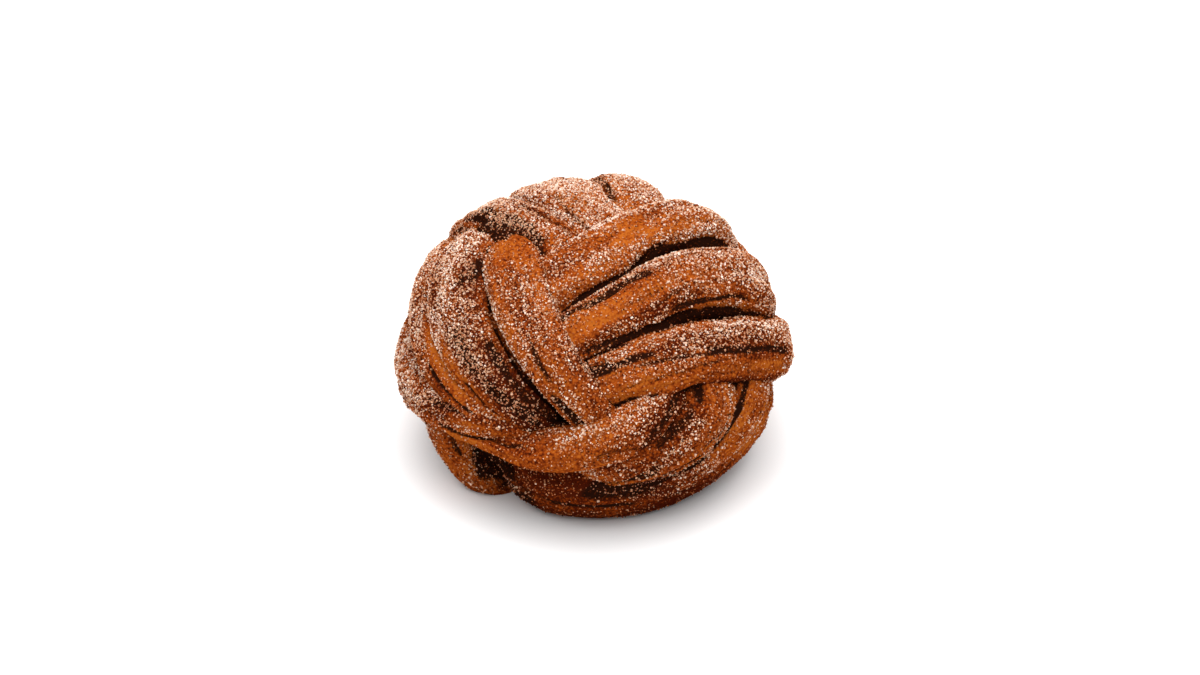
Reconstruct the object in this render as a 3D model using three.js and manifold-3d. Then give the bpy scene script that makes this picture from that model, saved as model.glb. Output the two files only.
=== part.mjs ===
// A cinnamon croissant knot: strips of layered dough woven over and under each other into a
// ball, the way a monkey's fist knot is tied, and baked into one piece with a flat foot.
// Millimetres, +Z up, +Y to the back, origin in the middle of the foot.
import * as THREE from "three";
import { mergeVertices } from "three/addons/utils/BufferGeometryUtils.js";
import Module from "manifold-3d";

// Driving sizes of the bun, over the crowns of its strips.
const WIDTH = 100;
const DEPTH = 98;
const HEIGHT = 65;
const WAIST_HEIGHT = 28; // the widest level, above the foot
const FOOT_SHARE = 0.8; // the foot's width as a share of the waist's

const STRIP_THICKNESS = 13;
const TUCK_REACH = 10; // how far a strip runs on under its neighbours
const TUCK_DEPTH = 8; // how far it sinks there
const CORE_INSET = 9; // how far the plain middle lies below the crowns
const END_ROUNDNESS = 4.5; // a high number keeps a strip wide until near its end
const SECTION_SQUARENESS = 2.5; // 2 is an oval section, and more is boxier
const SIDES = 12; // faces round a strip
const STEPS = 18; // faces along a strip
const CORE_SIDES = 24;
const CORE_STEPS = 12;

// Each strip of dough: its widths at even steps from its start to its end, and the places that
// its crown passes. A place is the turn round the bun from its front towards its right, the climb
// above its waist, both in degrees, and the lift of the crown above the bun's rounded outline in
// millimetres. Past its first and last places a strip goes down under its neighbours.
const STRIPS = {
  // the short strip that slopes down the front
  front_slope: {
    widths: [20, 16, 13, 11.5],
    places: [[-78, 64, 1], [-52, 60, 3], [-28, 48, 3], [-10.5, 31, 2.5], [1, 16, -0.5]],
  },
  // three side by side over the right shoulder
  shoulder_top: {
    widths: [24, 19, 16, 16.5, 17],
    places: [[-30, 61, 0], [2, 72, 2], [60, 76, 3], [102, 60, 4.5], [114, 45, 1]],
  },
  shoulder_middle: {
    widths: [15, 17, 19.5, 21.5],
    places: [[-10, 43, -1], [17, 53, 1.5], [52, 54, 3.5], [80, 38.5, 3], [92, 24, -1.5]],
  },
  shoulder_low: {
    widths: [15, 16, 17.5],
    places: [[1, 26, -1], [20, 31, 1.5], [43, 29, 2.5], [68, 17, 3], [86, 3, 0]],
  },
  // the left flank, which the front slope lies against
  flank_upper: {
    widths: [23, 21, 17, 15],
    places: [[-112, 59, -0.5], [-76, 47, 2], [-48, 32, 1.5], [-34, 22.5, 0], [-22, 13, -3]],
  },
  flank_lower: {
    widths: [17, 16, 11, 8],
    places: [[-118, 32, -1.5], [-94, 33, 0], [-65, 21, 0], [-43, 10.5, 0], [-28, 5, -2]],
  },
  flank_rim: {
    widths: [13, 14, 12, 9],
    places: [
      [-118, 4, -3.5], [-95, -3, -1.5], [-72, -2.5, 0.5],
      [-50, 1.5, 1.5], [-34, 2.5, 0], [-22, 0, -3],
    ],
  },
  // the front, which rises to the right under the low shoulder strip and thins to a lip at the left
  front_main: {
    widths: [11, 13, 13, 10, 5, 4, 4],
    places: [
      [26, 19, -1], [11, 9, 3], [-4, 1, 2.5], [-19, -3, 1.5],
      [-32, -3, 0.5], [-45, -3, 0], [-58, -3, -2],
    ],
  },
  front_right: {
    widths: [16, 16, 14, 12],
    places: [[39, 17, -0.5], [35, 7, 2], [21, -3, 2], [7, -7, 1]],
  },
  front_under: {
    widths: [18, 17, 16],
    places: [[58, 5, 0], [45, -8, 0], [20, -18, -0.5], [0, -20, -0.5], [-14, -21, -2]],
  },
  foot_front: {
    widths: [15, 15, 15],
    places: [[94, -20, -3], [71, -20, -1.5], [48, -28, -1.5], [12, -33, -1.5], [-22, -34, -2]],
  },
  // the crown, running from the back down under the top shoulder strip
  crown_left: {
    widths: [19, 17, 17],
    places: [[-141, 8, -1], [-131, 34, 0.5], [-108, 60, 3.5], [-50, 74, 2], [-22, 68, -2]],
  },
  crown_middle: {
    widths: [20, 19.5, 17],
    places: [[-164, 8, -1], [-160, 36, 1.5], [-156, 66, 2.5], [70, 87, 1.5], [40, 75, -2]],
  },
  crown_right: {
    widths: [18, 19, 18],
    places: [[174, 8, -1], [172, 34, 1.5], [164, 58, 3], [112, 73, 0.5]],
  },
  // the right of the back, lying over the ends of the shoulder strips
  back_inner: {
    widths: [15, 15, 15],
    places: [[98, -28, -3], [106, -8, -1.5], [120, 16, -1], [136, 38, -1], [150, 54, -5]],
  },
  back_middle: {
    widths: [16, 16, 15],
    places: [[113, -30, -2], [123, -8, 0.5], [140, 17, 0.5], [157, 36, -1]],
  },
  back_outer: {
    widths: [17, 17, 16],
    places: [[131, -30, -1], [143, -10, 1], [155, 4, 1], [166, 14, 0]],
  },
  // the left of the back, lying over the ends of the crown strips
  heel_upper: {
    widths: [15, 16, 16],
    places: [[-106, -3, -2.5], [-132, -5, 0.5], [-165, -11, 1], [174, -16, -1]],
  },
  heel_lower: {
    widths: [16, 16, 16],
    places: [[-80, -20, -2], [-111, -25, -0.5], [-145, -29, 0], [178, -32, 0], [150, -34, -3]],
  },
  heel_front: {
    widths: [14, 14, 14],
    places: [[-57, -8, -3], [-56, -22, -1.5], [-52, -36, -1]],
  },
};

// The bun's rounded outline is an ellipsoid whose lower half is deeper, cut off at the foot.
const underDepth = WAIST_HEIGHT / Math.sqrt(1 - FOOT_SHARE ** 2);
const semiAxes = (direction) =>
  new THREE.Vector3(WIDTH / 2, DEPTH / 2, direction.z < 0 ? underDepth : HEIGHT - WAIST_HEIGHT);
const middle = new THREE.Vector3(0, 0, WAIST_HEIGHT);

function directionOf(turn, climb) {
  const t = THREE.MathUtils.degToRad(turn);
  const c = THREE.MathUtils.degToRad(climb);
  return new THREE.Vector3(Math.cos(c) * Math.sin(t), -Math.cos(c) * Math.cos(t), Math.sin(c));
}

// The outline's outward normal where the line from its middle to a point leaves it.
function normalNear(point) {
  const fromMiddle = point.clone().sub(middle);
  const axes = semiAxes(fromMiddle);
  return fromMiddle.divide(axes).divide(axes).normalize();
}

// The line through the middle of a strip, with its two tucked ends.
function pathOf(places) {
  const points = places.map(([turn, climb, lift]) => {
    const direction = directionOf(turn, climb);
    const crown = direction.clone().multiply(semiAxes(direction)).add(middle);
    return crown.addScaledVector(normalNear(crown), lift - STRIP_THICKNESS / 2);
  });
  return new THREE.CatmullRomCurve3([
    tucked(points.at(0), points.at(1)),
    ...points,
    tucked(points.at(-1), points.at(-2)),
  ]);
}

// The hidden place past a strip's end, which carries on from the place before it and sinks.
function tucked(end, before) {
  const onward = end.clone().sub(before).normalize();
  return end.clone().addScaledVector(onward, TUCK_REACH).addScaledVector(normalNear(end), -TUCK_DEPTH);
}

// A point of the unit superellipse: across is its sideways share and up its upward share.
function sectionPoint(angle) {
  const bend = (value) => Math.sign(value) * Math.abs(value) ** (2 / SECTION_SQUARENESS);
  return { across: bend(Math.cos(angle)), up: bend(Math.sin(angle)) };
}

function widthAt(widths, along) {
  const place = along * (widths.length - 1);
  const before = Math.min(Math.floor(place), widths.length - 2);
  return THREE.MathUtils.lerp(widths[before], widths[before + 1], place - before);
}

// One strip: a sphere's rings are laid along its path and flattened against the bun.
function stripGeometry({ widths, places }) {
  const path = pathOf(places);
  const geometry = new THREE.SphereGeometry(1, SIDES, STEPS);
  const position = geometry.getAttribute("position");
  const uv = geometry.getAttribute("uv");
  for (let i = 0; i < position.count; i++) {
    const along = 1 - uv.getY(i);
    const angle = uv.getX(i) * 2 * Math.PI;
    const isPole = along === 0 || along === 1;
    const section = sectionPoint(angle);
    const plump = isPole ? 0 : (1 - Math.abs(2 * along - 1) ** END_ROUNDNESS) ** (1 / END_ROUNDNESS);
    const centre = path.getPointAt(along);
    const tangent = path.getTangentAt(along);
    const normal = normalNear(centre);
    const side = new THREE.Vector3().crossVectors(tangent, normal).normalize();
    const up = new THREE.Vector3().crossVectors(side, tangent);
    const halfWidth = widthAt(widths, along) / 2;
    centre.addScaledVector(side, section.across * plump * halfWidth);
    centre.addScaledVector(up, (section.up * plump * STRIP_THICKNESS) / 2);
    position.setXYZ(i, centre.x, centre.y, centre.z);
  }
  return geometry;
}

// The plain middle that the strips are baked onto.
function coreGeometry() {
  const geometry = new THREE.SphereGeometry(1, CORE_SIDES, CORE_STEPS);
  const position = geometry.getAttribute("position");
  for (let i = 0; i < position.count; i++) {
    const direction = new THREE.Vector3().fromBufferAttribute(position, i);
    const point = direction.clone().multiply(semiAxes(direction)).add(middle);
    point.addScaledVector(normalNear(point), -CORE_INSET);
    position.setXYZ(i, point.x, point.y, point.z);
  }
  return geometry;
}

const wasm = await Module();
wasm.setup();

function solidOf(geometry) {
  const bare = geometry.clone();
  bare.deleteAttribute("normal");
  bare.deleteAttribute("uv");
  const merged = mergeVertices(bare, 1e-4);
  return new wasm.Manifold(
    new wasm.Mesh({
      numProp: 3,
      vertProperties: new Float32Array(merged.getAttribute("position").array),
      triVerts: new Uint32Array(merged.index.array),
    }),
  );
}

function geometryOf(solid) {
  const mesh = solid.getMesh();
  const geometry = new THREE.BufferGeometry();
  geometry.setAttribute("position", new THREE.BufferAttribute(new Float32Array(mesh.vertProperties), 3));
  geometry.setIndex(new THREE.BufferAttribute(new Uint32Array(mesh.triVerts), 1));
  geometry.computeVertexNormals();
  return geometry;
}

// Everything below the foot's level is cut away, which leaves the flat face to rest on.
function bakedFlat(solid) {
  const room = 2 * Math.max(WIDTH, DEPTH, HEIGHT);
  const tray = new THREE.BoxGeometry(room, room, room).translate(0, 0, -room / 2);
  return solid.subtract(solidOf(tray));
}

// The dough swells into every small space that its strips shut in, so only the outside is left.
function withoutVoids(solid) {
  const shells = solid.decompose();
  return shells.reduce((outside, shell) => (shell.volume() > outside.volume() ? shell : outside));
}

function croissantGeometry() {
  let solid = solidOf(coreGeometry());
  for (const strip of Object.values(STRIPS)) solid = solid.add(solidOf(stripGeometry(strip)));
  const geometry = geometryOf(withoutVoids(bakedFlat(solid)));
  geometry.computeBoundingBox();
  const centre = geometry.boundingBox.getCenter(new THREE.Vector3());
  return geometry.translate(-centre.x, -centre.y, 0);
}

const crust = new THREE.MeshStandardMaterial({ color: 0x9a4a1c, roughness: 0.75, metalness: 0 });
const croissant = new THREE.Mesh(croissantGeometry(), crust);
croissant.name = "croissant";

const group = new THREE.Group();
group.add(croissant);
export default group;
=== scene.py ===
import math

import bpy
import numpy as np
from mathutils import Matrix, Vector
from mathutils.bvhtree import BVHTree


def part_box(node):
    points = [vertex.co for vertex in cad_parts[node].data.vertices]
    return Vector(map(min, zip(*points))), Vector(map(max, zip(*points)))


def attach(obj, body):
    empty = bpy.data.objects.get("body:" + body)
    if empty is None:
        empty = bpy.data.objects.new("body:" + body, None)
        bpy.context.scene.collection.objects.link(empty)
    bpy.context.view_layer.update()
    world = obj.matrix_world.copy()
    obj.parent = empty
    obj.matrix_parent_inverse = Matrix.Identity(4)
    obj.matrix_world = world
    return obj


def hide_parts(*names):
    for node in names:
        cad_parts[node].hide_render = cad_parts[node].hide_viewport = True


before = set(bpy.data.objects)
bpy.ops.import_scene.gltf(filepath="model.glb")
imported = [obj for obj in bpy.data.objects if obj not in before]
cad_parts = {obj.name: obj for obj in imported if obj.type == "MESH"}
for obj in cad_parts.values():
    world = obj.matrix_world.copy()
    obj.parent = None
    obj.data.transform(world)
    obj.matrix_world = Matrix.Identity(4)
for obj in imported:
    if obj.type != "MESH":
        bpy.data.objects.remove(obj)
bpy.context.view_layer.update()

# A cinnamon croissant knot: strips of layered dough woven into a ball, rolled in cinnamon and
# sugar and baked. The strips lie where the imported solid has them, and get their layers, their
# streaks of cinnamon, the painted shade in the gaps between them and their grains of sugar here.
lowest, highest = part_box("croissant")

MM = 0.001

# Driving sizes of the bun, over the crowns of its strips, the same as in its solid.
WIDTH = 100 * MM
DEPTH = 98 * MM
HEIGHT = 65 * MM
WAIST_HEIGHT = 28 * MM  # where the bun is widest
FOOT_SHARE = 0.8  # how wide the outline is at the floor, as a share of the waist
STRIP_THICKNESS = 13 * MM
TUCK_REACH = 10 * MM  # how far a strip's end runs on under its neighbours
TUCK_DEPTH = 8 * MM  # how far it sinks there
CORE_INSET = 9 * MM  # how far the core lies inside the strips' crowns
END_ROUNDNESS = 4.5  # higher for blunter ends of strips
SECTION_SQUARENESS = 2.5  # 2 for an ellipse, higher for a squarer section

UNDER_DEPTH = WAIST_HEIGHT / math.sqrt(1 - FOOT_SHARE**2)
MIDDLE = np.array([0, 0, WAIST_HEIGHT])

SIDES = 12  # faces round a strip of the solid
STEPS = 18  # faces along it
FINE_SIDES = 72  # faces round a strip here
RING_GAP = 0.75 * MM  # between two rings of vertices along it
TOP_SHARPNESS = 1.6  # how much closer the vertices lie on a strip's outer side
SECTION_STEPS = 1440  # steps in which the way round a strip is measured
SMALLEST_SOLID = (2 * MM) ** 3  # a shell that holds less is only a shut-in space
SHELTER_STEPS = (60, 33)  # places along and round a strip where its shelter is found
SHELTER_REACH = 10 * MM  # how far off another strip still shelters
SKY_WAYS = 20  # ways that are tried from each of those places
LOWEST_GRAIN = 0.45 * MM  # above the floor
FIRST_GRAIN_SEED = 11

# Each strip of dough, by the sheaf that it lies in: its widths in millimetres at even steps
# from its start to its end, and the places that its crown passes, as its turn round the bun
# from the front, its climb above the waist, both in degrees, and its lift above the outline
# in millimetres.
SHEAVES = {
    "shoulder_strips": {
        "shoulder_top": (
            [24, 19, 16, 16.5, 17],
            [[-30, 61, 0], [2, 72, 2], [60, 76, 3], [102, 60, 4.5], [114, 45, 1]],
        ),
        "shoulder_middle": (
            [15, 17, 19.5, 21.5],
            [[-10, 43, -1], [17, 53, 1.5], [52, 54, 3.5], [80, 38.5, 3], [92, 24, -1.5]],
        ),
        "shoulder_low": (
            [15, 16, 17.5],
            [[1, 26, -1], [20, 31, 1.5], [43, 29, 2.5], [68, 17, 3], [86, 3, 0]],
        ),
    },
    "flank_strips": {
        "flank_upper": (
            [23, 21, 17, 15],
            [[-112, 59, -0.5], [-76, 47, 2], [-48, 32, 1.5], [-34, 22.5, 0], [-22, 13, -3]],
        ),
        "flank_lower": (
            [17, 16, 11, 8],
            [[-118, 32, -1.5], [-94, 33, 0], [-65, 21, 0], [-43, 10.5, 0], [-28, 5, -2]],
        ),
        "flank_rim": (
            [13, 14, 12, 9],
            [
                [-118, 4, -3.5], [-95, -3, -1.5], [-72, -2.5, 0.5],
                [-50, 1.5, 1.5], [-34, 2.5, 0], [-22, 0, -3],
            ],
        ),
    },
    "front_strips": {
        "front_slope": (
            [20, 16, 13, 11.5],
            [[-78, 64, 1], [-52, 60, 3], [-28, 48, 3], [-10.5, 31, 2.5], [1, 16, -0.5]],
        ),
        "front_main": (
            [11, 13, 13, 10, 5, 4, 4],
            [
                [26, 19, -1], [11, 9, 3], [-4, 1, 2.5], [-19, -3, 1.5],
                [-32, -3, 0.5], [-45, -3, 0], [-58, -3, -2],
            ],
        ),
        "front_right": (
            [16, 16, 14, 12],
            [[39, 17, -0.5], [35, 7, 2], [21, -3, 2], [7, -7, 1]],
        ),
    },
    "foot_strips": {
        "front_under": (
            [18, 17, 16],
            [[58, 5, 0], [45, -8, 0], [20, -18, -0.5], [0, -20, -0.5], [-14, -21, -2]],
        ),
        "foot_front": (
            [15, 15, 15],
            [[94, -20, -3], [71, -20, -1.5], [48, -28, -1.5], [12, -33, -1.5], [-22, -34, -2]],
        ),
    },
    "crown_strips": {
        "crown_left": (
            [19, 17, 17],
            [[-141, 8, -1], [-131, 34, 0.5], [-108, 60, 3.5], [-50, 74, 2], [-22, 68, -2]],
        ),
        "crown_middle": (
            [20, 19.5, 17],
            [[-164, 8, -1], [-160, 36, 1.5], [-156, 66, 2.5], [70, 87, 1.5], [40, 75, -2]],
        ),
        "crown_right": (
            [18, 19, 18],
            [[174, 8, -1], [172, 34, 1.5], [164, 58, 3], [112, 73, 0.5]],
        ),
    },
    "back_strips": {
        "back_inner": (
            [15, 15, 15],
            [[98, -28, -3], [106, -8, -1.5], [120, 16, -1], [136, 38, -1], [150, 54, -5]],
        ),
        "back_middle": (
            [16, 16, 15],
            [[113, -30, -2], [123, -8, 0.5], [140, 17, 0.5], [157, 36, -1]],
        ),
        "back_outer": (
            [17, 17, 16],
            [[131, -30, -1], [143, -10, 1], [155, 4, 1], [166, 14, 0]],
        ),
    },
    "heel_strips": {
        "heel_upper": (
            [15, 16, 16],
            [[-106, -3, -2.5], [-132, -5, 0.5], [-165, -11, 1], [174, -16, -1]],
        ),
        "heel_lower": (
            [16, 16, 16],
            [[-80, -20, -2], [-111, -25, -0.5], [-145, -29, 0], [178, -32, 0], [150, -34, -3]],
        ),
        "heel_front": (
            [14, 14, 14],
            [[-57, -8, -3], [-56, -22, -1.5], [-52, -36, -1]],
        ),
    },
}

# Streaks of the cinnamon filling that breaks through a strip's surface, grooves between its
# layers, and painted shade: the darkest rows along a strip's edges, in holes and at ends tucked
# under other strips paint the shadow that falls in the gaps there. Each runs from a share of the
# strip's length and a share of the way from its middle line to its edge to another such place,
# and has its half width and depth in millimetres and its darkness. A darkness above 1 is dark in
# its paler patches too, and a depth below 0 makes a ridge. No grains lie in the deep ones.
STREAKS_AND_GAP_SHADE = {
    "shoulder_top": [
        (0.33, -0.06, 0.6, -0.2, 0.9, 0.6, 0.4),
        (0.4, 0.16, 0.56, 0.08, 0.6, 0.4, 0.2),
        # The last three rows paint the shadow in the gap under this strip.
        (0.2, 0.72, 0.42, 0.8, 0.9, 1.0, 1.0),
        (0.38, 0.8, 0.78, 0.92, 2.2, 1.0, 1.0),
        (0.16, 1.05, 0.82, 1.15, 3.6, 0.9, 1.0),
    ],
    "shoulder_middle": [
        (0.13, -0.55, 0.42, -0.42, 1.8, 0.3, 0.95),
        (0.4, -0.3, 0.56, -0.36, 0.9, 0.4, 0.6),
        (0.28, 0.08, 0.44, 0.14, 0.5, 0.5, 0.5),
        (0.34, 0.3, 0.46, 0.28, 0.6, 0.6, 0.8),
        (0.4, 0.52, 0.66, 0.6, 0.9, 0.9, 0.95),
        # The last three rows paint the shadow in the gap under this strip.
        (0.17, 0.56, 0.42, 0.84, 1.05, 1.0, 1.0),
        (0.38, 0.84, 0.75, 0.95, 2.2, 1.0, 1.0),
        (0.14, 0.85, 0.8, 1.15, 3.4, 0.9, 1.0),
    ],
    "shoulder_low": [
        (0.1, -0.95, 0.5, -0.9, 3.2, -1.3, 0.0),
        (0.12, -0.45, 0.32, -0.28, 1.7, 0.4, 1.0),
        (0.26, -0.1, 0.46, -0.03, 0.8, 0.7, 0.9),
        (0.43, -0.02, 0.72, 0.1, 1.3, 0.7, 1.0),
        (0.2, 0.16, 0.62, 0.22, 0.45, 0.5, 0.7),
        (0.24, 0.32, 0.74, 0.34, 0.4, 0.5, 0.6),
        (0.22, 0.5, 0.74, 0.5, 0.4, 0.5, 0.6),
        (0.12, 0.55, 0.26, 0.6, 1.6, 1.0, 1.0),
        (0.3, 0.9, 0.6, 0.95, 1.8, 0.9, 1.0),
        (0.34, 0.85, 0.42, 0.85, 1.8, 1.2, 1.0),
    ],
    "front_slope": [
        (0.56, 0.15, 0.72, 0.42, 1.1, 0.4, 0.9),
        (0.7, 0.42, 0.92, 0.55, 1.5, 0.5, 0.95),
        (0.64, -0.78, 0.84, -0.62, 1.2, 0.5, 0.9),
        (0.22, -0.25, 0.5, -0.3, 0.8, 0.4, 0.2),
        (0.18, 0.2, 0.4, 0.12, 0.7, 0.35, 0.2),
    ],
    "flank_upper": [
        (0.36, -0.58, 0.45, -0.44, 2.6, 0.7, 1.0),
        (0.39, -0.36, 0.46, -0.34, 1.5, 0.6, 0.9),
        (0.44, -0.5, 0.6, -0.72, 2.2, 0.0, 0.4),
        (0.56, -0.84, 0.7, -0.98, 0.9, 1.0, 1.0),
        (0.66, -0.95, 0.8, -0.72, 1.0, 1.0, 1.0),
        (0.78, -0.75, 0.94, -0.4, 1.2, 1.0, 1.0),
        (0.56, -0.02, 0.86, -0.1, 2.0, 0.5, 1.0),
        (0.64, -0.5, 0.92, -0.3, 2.2, 0.5, 0.9),
        (0.66, 0.41, 0.82, 0.39, 0.7, 0.7, 1.0),
    ],
    "flank_lower": [
        (0.6, -0.04, 0.86, -0.14, 0.6, 0.7, 1.0),
        (0.4, 0.1, 0.6, 0.15, 0.8, 0.4, 0.3),
        (0.45, -0.4, 0.7, -0.45, 0.7, 0.4, 0.3),
    ],
    "flank_rim": [
        (0.6, -0.46, 0.74, -0.42, 1.3, 0.4, 0.9),
        (0.74, -0.5, 0.92, -0.42, 1.1, 0.8, 1.0),
        (0.66, 0.16, 0.82, 0.2, 0.7, 0.7, 0.9),
    ],
    "front_main": [
        (0.54, 0.5, 0.74, 0.46, 0.7, 0.7, 0.9),
        (0.16, 0.02, 0.28, -0.22, 1.1, 0.6, 0.9),
        (0.26, -0.3, 0.38, -0.08, 1.0, 0.5, 0.75),
        (0.16, -0.3, 0.3, -0.6, 1.1, 0.5, 0.7),
        (0.53, -0.5, 0.7, -0.45, 1.4, 1.0, 1.0),
        (0.36, 0.2, 0.48, 0.1, 0.7, 0.5, 0.3),
    ],
    "front_right": [
        # Painted shadow in a hole beside the shoulder strips.
        (0.24, 0.52, 0.36, 0.46, 2.0, 1.0, 1.0),
        (0.36, 0.72, 0.62, 0.45, 2.0, 0.5, 0.85),
        # These two rows paint the shade along the step down to the strip below.
        (0.24, -0.34, 0.42, -0.36, 0.8, 0.7, 1.0),
        (0.4, -0.36, 0.74, -0.54, 0.8, 0.7, 1.0),
        (0.62, -0.1, 0.84, -0.32, 2.0, 0.4, 0.9),
        (0.4, -0.1, 0.6, -0.15, 0.7, 0.4, 0.3),
    ],
    "front_under": [
        (0.52, 0.2, 0.74, 0.2, 4.2, 0.4, 1.0),
        # These two rows paint the shade along the step up to the strip beside.
        (0.12, 0.6, 0.36, 0.38, 1.2, 0.7, 1.0),
        (0.34, 0.38, 0.58, 0.28, 1.0, 0.7, 1.0),
        (0.4, -0.1, 0.52, -0.12, 1.0, 0.5, 0.8),
        (0.6, -0.38, 0.86, -0.26, 2.2, 0.3, 1.0),
        (0.12, -0.4, 0.23, -0.25, 0.7, 0.6, 0.9),
        (0.2, 0.15, 0.36, 0.05, 0.7, 0.4, 0.3),
        (0.14, 0.85, 0.22, 0.75, 1.6, 1.0, 1.0),
        # Painted shadow at this end, in the hollow under the strips above it.
        (0.93, 0.0, 1.0, 0.0, 8.0, 0.5, 1.0),
    ],
    "foot_front": [
        (0.4, 0.3, 0.62, 0.24, 0.9, 0.5, 0.8),
        (0.3, -0.1, 0.9, -0.2, 1.0, 0.6, 0.5),
        # Painted shadow at this end, in the hollow under the strips above it.
        (0.87, 0.1, 1.0, 0.1, 7.0, 0.6, 1.0),
    ],
    "heel_front": [
        (0.3, -0.6, 0.5, -0.66, 0.7, 0.6, 0.9),
        # The next three rows paint the black shadow in the hollow beside this strip.
        (0.5, -1.4, 1.0, -1.3, 6.0, 0.9, 1.5),
        (0.5, -1.2, 1.0, -1.1, 2.8, 0.5, 1.4),
        (0.5, -1.25, 1.0, -1.2, 3.2, 0.3, 1.5),
        (0.45, -0.2, 0.75, -0.25, 1.4, 0.9, 0.5),
        (0.6, 0.3, 0.95, 0.2, 1.2, 0.8, 0.5),
    ],
    "crown_left": [
        (0.48, 0.38, 0.55, 0.42, 1.6, 1.0, 1.0),
        (0.52, 0.6, 0.72, 0.42, 3.4, 0.6, 1.0),
        (0.68, 0.45, 0.84, 0.25, 1.8, 0.7, 1.0),
        (0.44, 0.3, 0.74, 0.22, 3.4, 0.3, 1.0),
        (0.48, -0.06, 0.6, 0.0, 1.2, 0.3, 0.7),
        (0.4, 0.74, 0.5, 0.66, 1.4, 0.6, 0.9),
        (0.56, -0.5, 0.82, -0.42, 0.9, 0.5, 0.8),
        (0.12, 0.2, 0.36, 0.1, 1.2, 0.5, 0.9),
    ],
    "crown_middle": [
        (0.58, 0.42, 0.78, 0.42, 1.0, 0.5, 0.8),
        (0.62, 0.1, 0.74, 0.15, 1.0, 0.4, 0.6),
        (0.45, -0.3, 0.8, -0.25, 0.8, 0.4, 0.2),
        (0.08, -0.3, 0.4, -0.2, 1.0, 0.5, 0.8),
        (0.15, 0.4, 0.4, 0.5, 1.6, 0.4, 0.9),
    ],
    "crown_right": [
        (0.5, 0.56, 0.76, 0.5, 1.2, 0.6, 0.9),
        (0.5, 0.2, 0.6, 0.3, 1.5, 0.3, 0.5),
        (0.5, -0.1, 0.8, 0.0, 0.8, 0.4, 0.15),
        (0.1, 0.3, 0.42, 0.2, 0.9, 0.5, 0.8),
    ],
    "back_inner": [
        (0.3, -0.2, 0.6, -0.1, 0.8, 0.5, 0.8),
        (0.45, 0.35, 0.8, 0.2, 1.4, 0.4, 1.0),
        (0.2, 0.85, 0.8, 0.9, 1.8, 0.9, 1.0),
    ],
    "back_middle": [
        (0.15, -0.85, 0.8, -0.9, 1.8, 0.9, 1.0),
        (0.35, 0.1, 0.7, 0.2, 0.7, 0.5, 0.8),
        (0.2, 0.5, 0.6, 0.42, 1.5, 0.4, 1.0),
        (0.2, 0.9, 0.8, 0.95, 1.6, 0.9, 1.0),
    ],
    "back_outer": [
        (0.15, -0.9, 0.8, -0.9, 1.8, 0.9, 1.0),
        (0.3, -0.3, 0.7, -0.15, 1.2, 0.4, 1.0),
        (0.3, 0.35, 0.75, 0.4, 0.7, 0.5, 0.7),
    ],
    "heel_upper": [
        (0.2, 0.9, 0.85, 0.9, 1.8, 0.9, 1.0),
        (0.25, -0.35, 0.6, -0.2, 1.0, 0.5, 0.9),
        (0.5, 0.25, 0.8, 0.3, 1.6, 0.4, 1.0),
    ],
    "heel_lower": [
        (0.2, -0.9, 0.85, -0.9, 1.8, 0.9, 1.0),
        (0.3, 0.1, 0.6, 0.0, 1.2, 0.5, 0.9),
    ],
}

# Patches baked darker than the rest, laid as the streaks are: half width and strength. A
# strength below 0 makes them paler. On the low front strips the darkening is both a darker-baked
# underside and painted shade where the light falls off towards the foot.
BAKED_AND_SHADED = {
    "shoulder_top": [(0.34, -0.1, 0.62, -0.25, 1.5, 0.25)],
    "shoulder_middle": [(0.6, 0.3, 0.9, 0.4, 6.0, 0.3), (0.3, 0.5, 0.6, 0.6, 2.0, 0.25)],
    "shoulder_low": [(0.14, -0.5, 0.6, -0.3, 3.0, 0.3), (0.2, 0.8, 0.8, 0.85, 1.5, 0.4)],
    "flank_upper": [(0.15, 0.1, 0.95, 0.0, 9.0, 0.35), (0.66, -0.4, 0.95, -0.2, 6.0, 0.5)],
    "flank_lower": [(0.6, 0.1, 0.9, 0.1, 3.0, 0.3)],
    "flank_rim": [(0.2, -0.4, 0.7, -0.3, 6.0, 0.45), (0.7, -0.2, 0.95, -0.2, 3.0, 0.3)],
    "front_main": [(0.1, -0.1, 0.3, -0.4, 4.0, 0.2), (0.3, -0.8, 0.6, -0.7, 2.0, 0.3)],
    "front_right": [(0.36, 0.5, 0.8, 0.3, 4.0, 0.4)],
    # These three strips darken towards the foot: a darker-baked underside and painted shade.
    "front_under": [(0.1, 0.0, 0.4, 0.0, 8.0, -0.25), (0.5, 0.0, 1.0, 0.0, 14.0, 0.65)],
    "foot_front": [(0.4, 0.0, 1.0, 0.0, 14.0, 0.55)],
    "heel_front": [(0.7, 0.0, 1.0, 0.0, 14.0, 0.2)],
    "crown_left": [(0.3, 0.4, 0.8, 0.2, 5.0, 0.3)],
    "crown_middle": [(0.3, 0.0, 1.0, 0.0, 14.0, -0.25)],
    "crown_right": [(0.3, 0.0, 1.0, 0.0, 14.0, -0.35)],
}

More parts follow.
